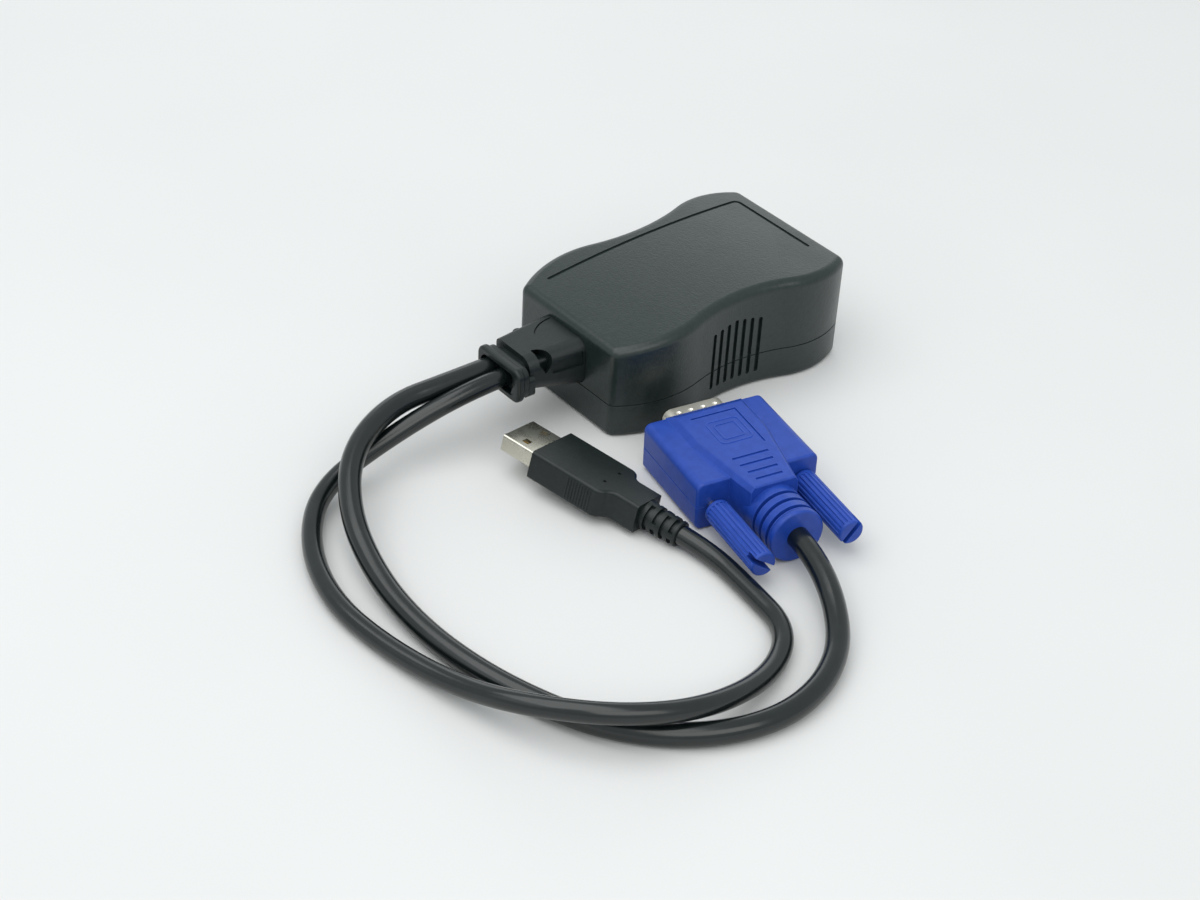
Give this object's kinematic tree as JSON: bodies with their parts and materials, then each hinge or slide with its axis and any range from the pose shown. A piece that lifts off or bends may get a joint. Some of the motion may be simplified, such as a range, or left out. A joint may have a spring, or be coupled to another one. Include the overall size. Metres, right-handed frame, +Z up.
{
  "type": "kvm dongle",
  "caption": "Waisted plastic interface housing with a network socket in one end and short video and USB cords from a moulded boot in the other.",
  "frame": {"origin": "middle of the housing's underside, on the surface the part lies on", "axes": "+X along the housing to its socket end, +Z up, cords leave at the -X end"},
  "size_m": [0.1721, 0.1522, 0.0298],
  "materials": {
    "housing": "fine matt texture",
    "screw_steel": "plated",
    "board_green": "solder mask",
    "chip_black": "moulded",
    "jack_black": "moulded",
    "gold": "gold flashed",
    "boot_rubber": "soft satin",
    "blue_plastic": "satin",
    "nickel": "bright plated",
    "insulator": "moulded",
    "usb_black": "satin",
    "cord_black": "satin"
  },
  "bodies": {
    "module": {"upper_shell": "housing", "lower_shell": "housing", "case_screws": "screw_steel", "circuit_board": "board_green", "board_chips": "chip_black", "network_jack": "jack_black", "jack_contacts": "gold", "cable_boot": "boot_rubber", "vga_hood": "blue_plastic", "vga_shell": "nickel", "vga_insulator": "insulator", "vga_pins": "gold", "usb_overmould": "usb_black", "usb_shell": "nickel", "usb_tongue": "insulator", "usb_contacts": "gold", "vga_cord": "cord_black", "usb_cord": "cord_black"},
    "left_thumbscrew": {"vga_knob_left": "blue_plastic", "vga_screw_left": "screw_steel"},
    "right_thumbscrew": {"vga_knob_right": "blue_plastic", "vga_screw_right": "screw_steel"}
  },
  "joints": [
    {"name": "left_thumbscrew_turn", "type": "hinge", "parent": "module", "child": "left_thumbscrew", "pos_m": [-0.04371, -0.07369, 0.00699], "axis": [0.2096, 0.9778, -0.0052], "continuous": true},
    {"name": "right_thumbscrew_turn", "type": "hinge", "parent": "module", "child": "right_thumbscrew", "pos_m": [-0.01926, -0.07893, 0.00743], "axis": [0.2096, 0.9778, -0.0052], "continuous": true}
  ]
}
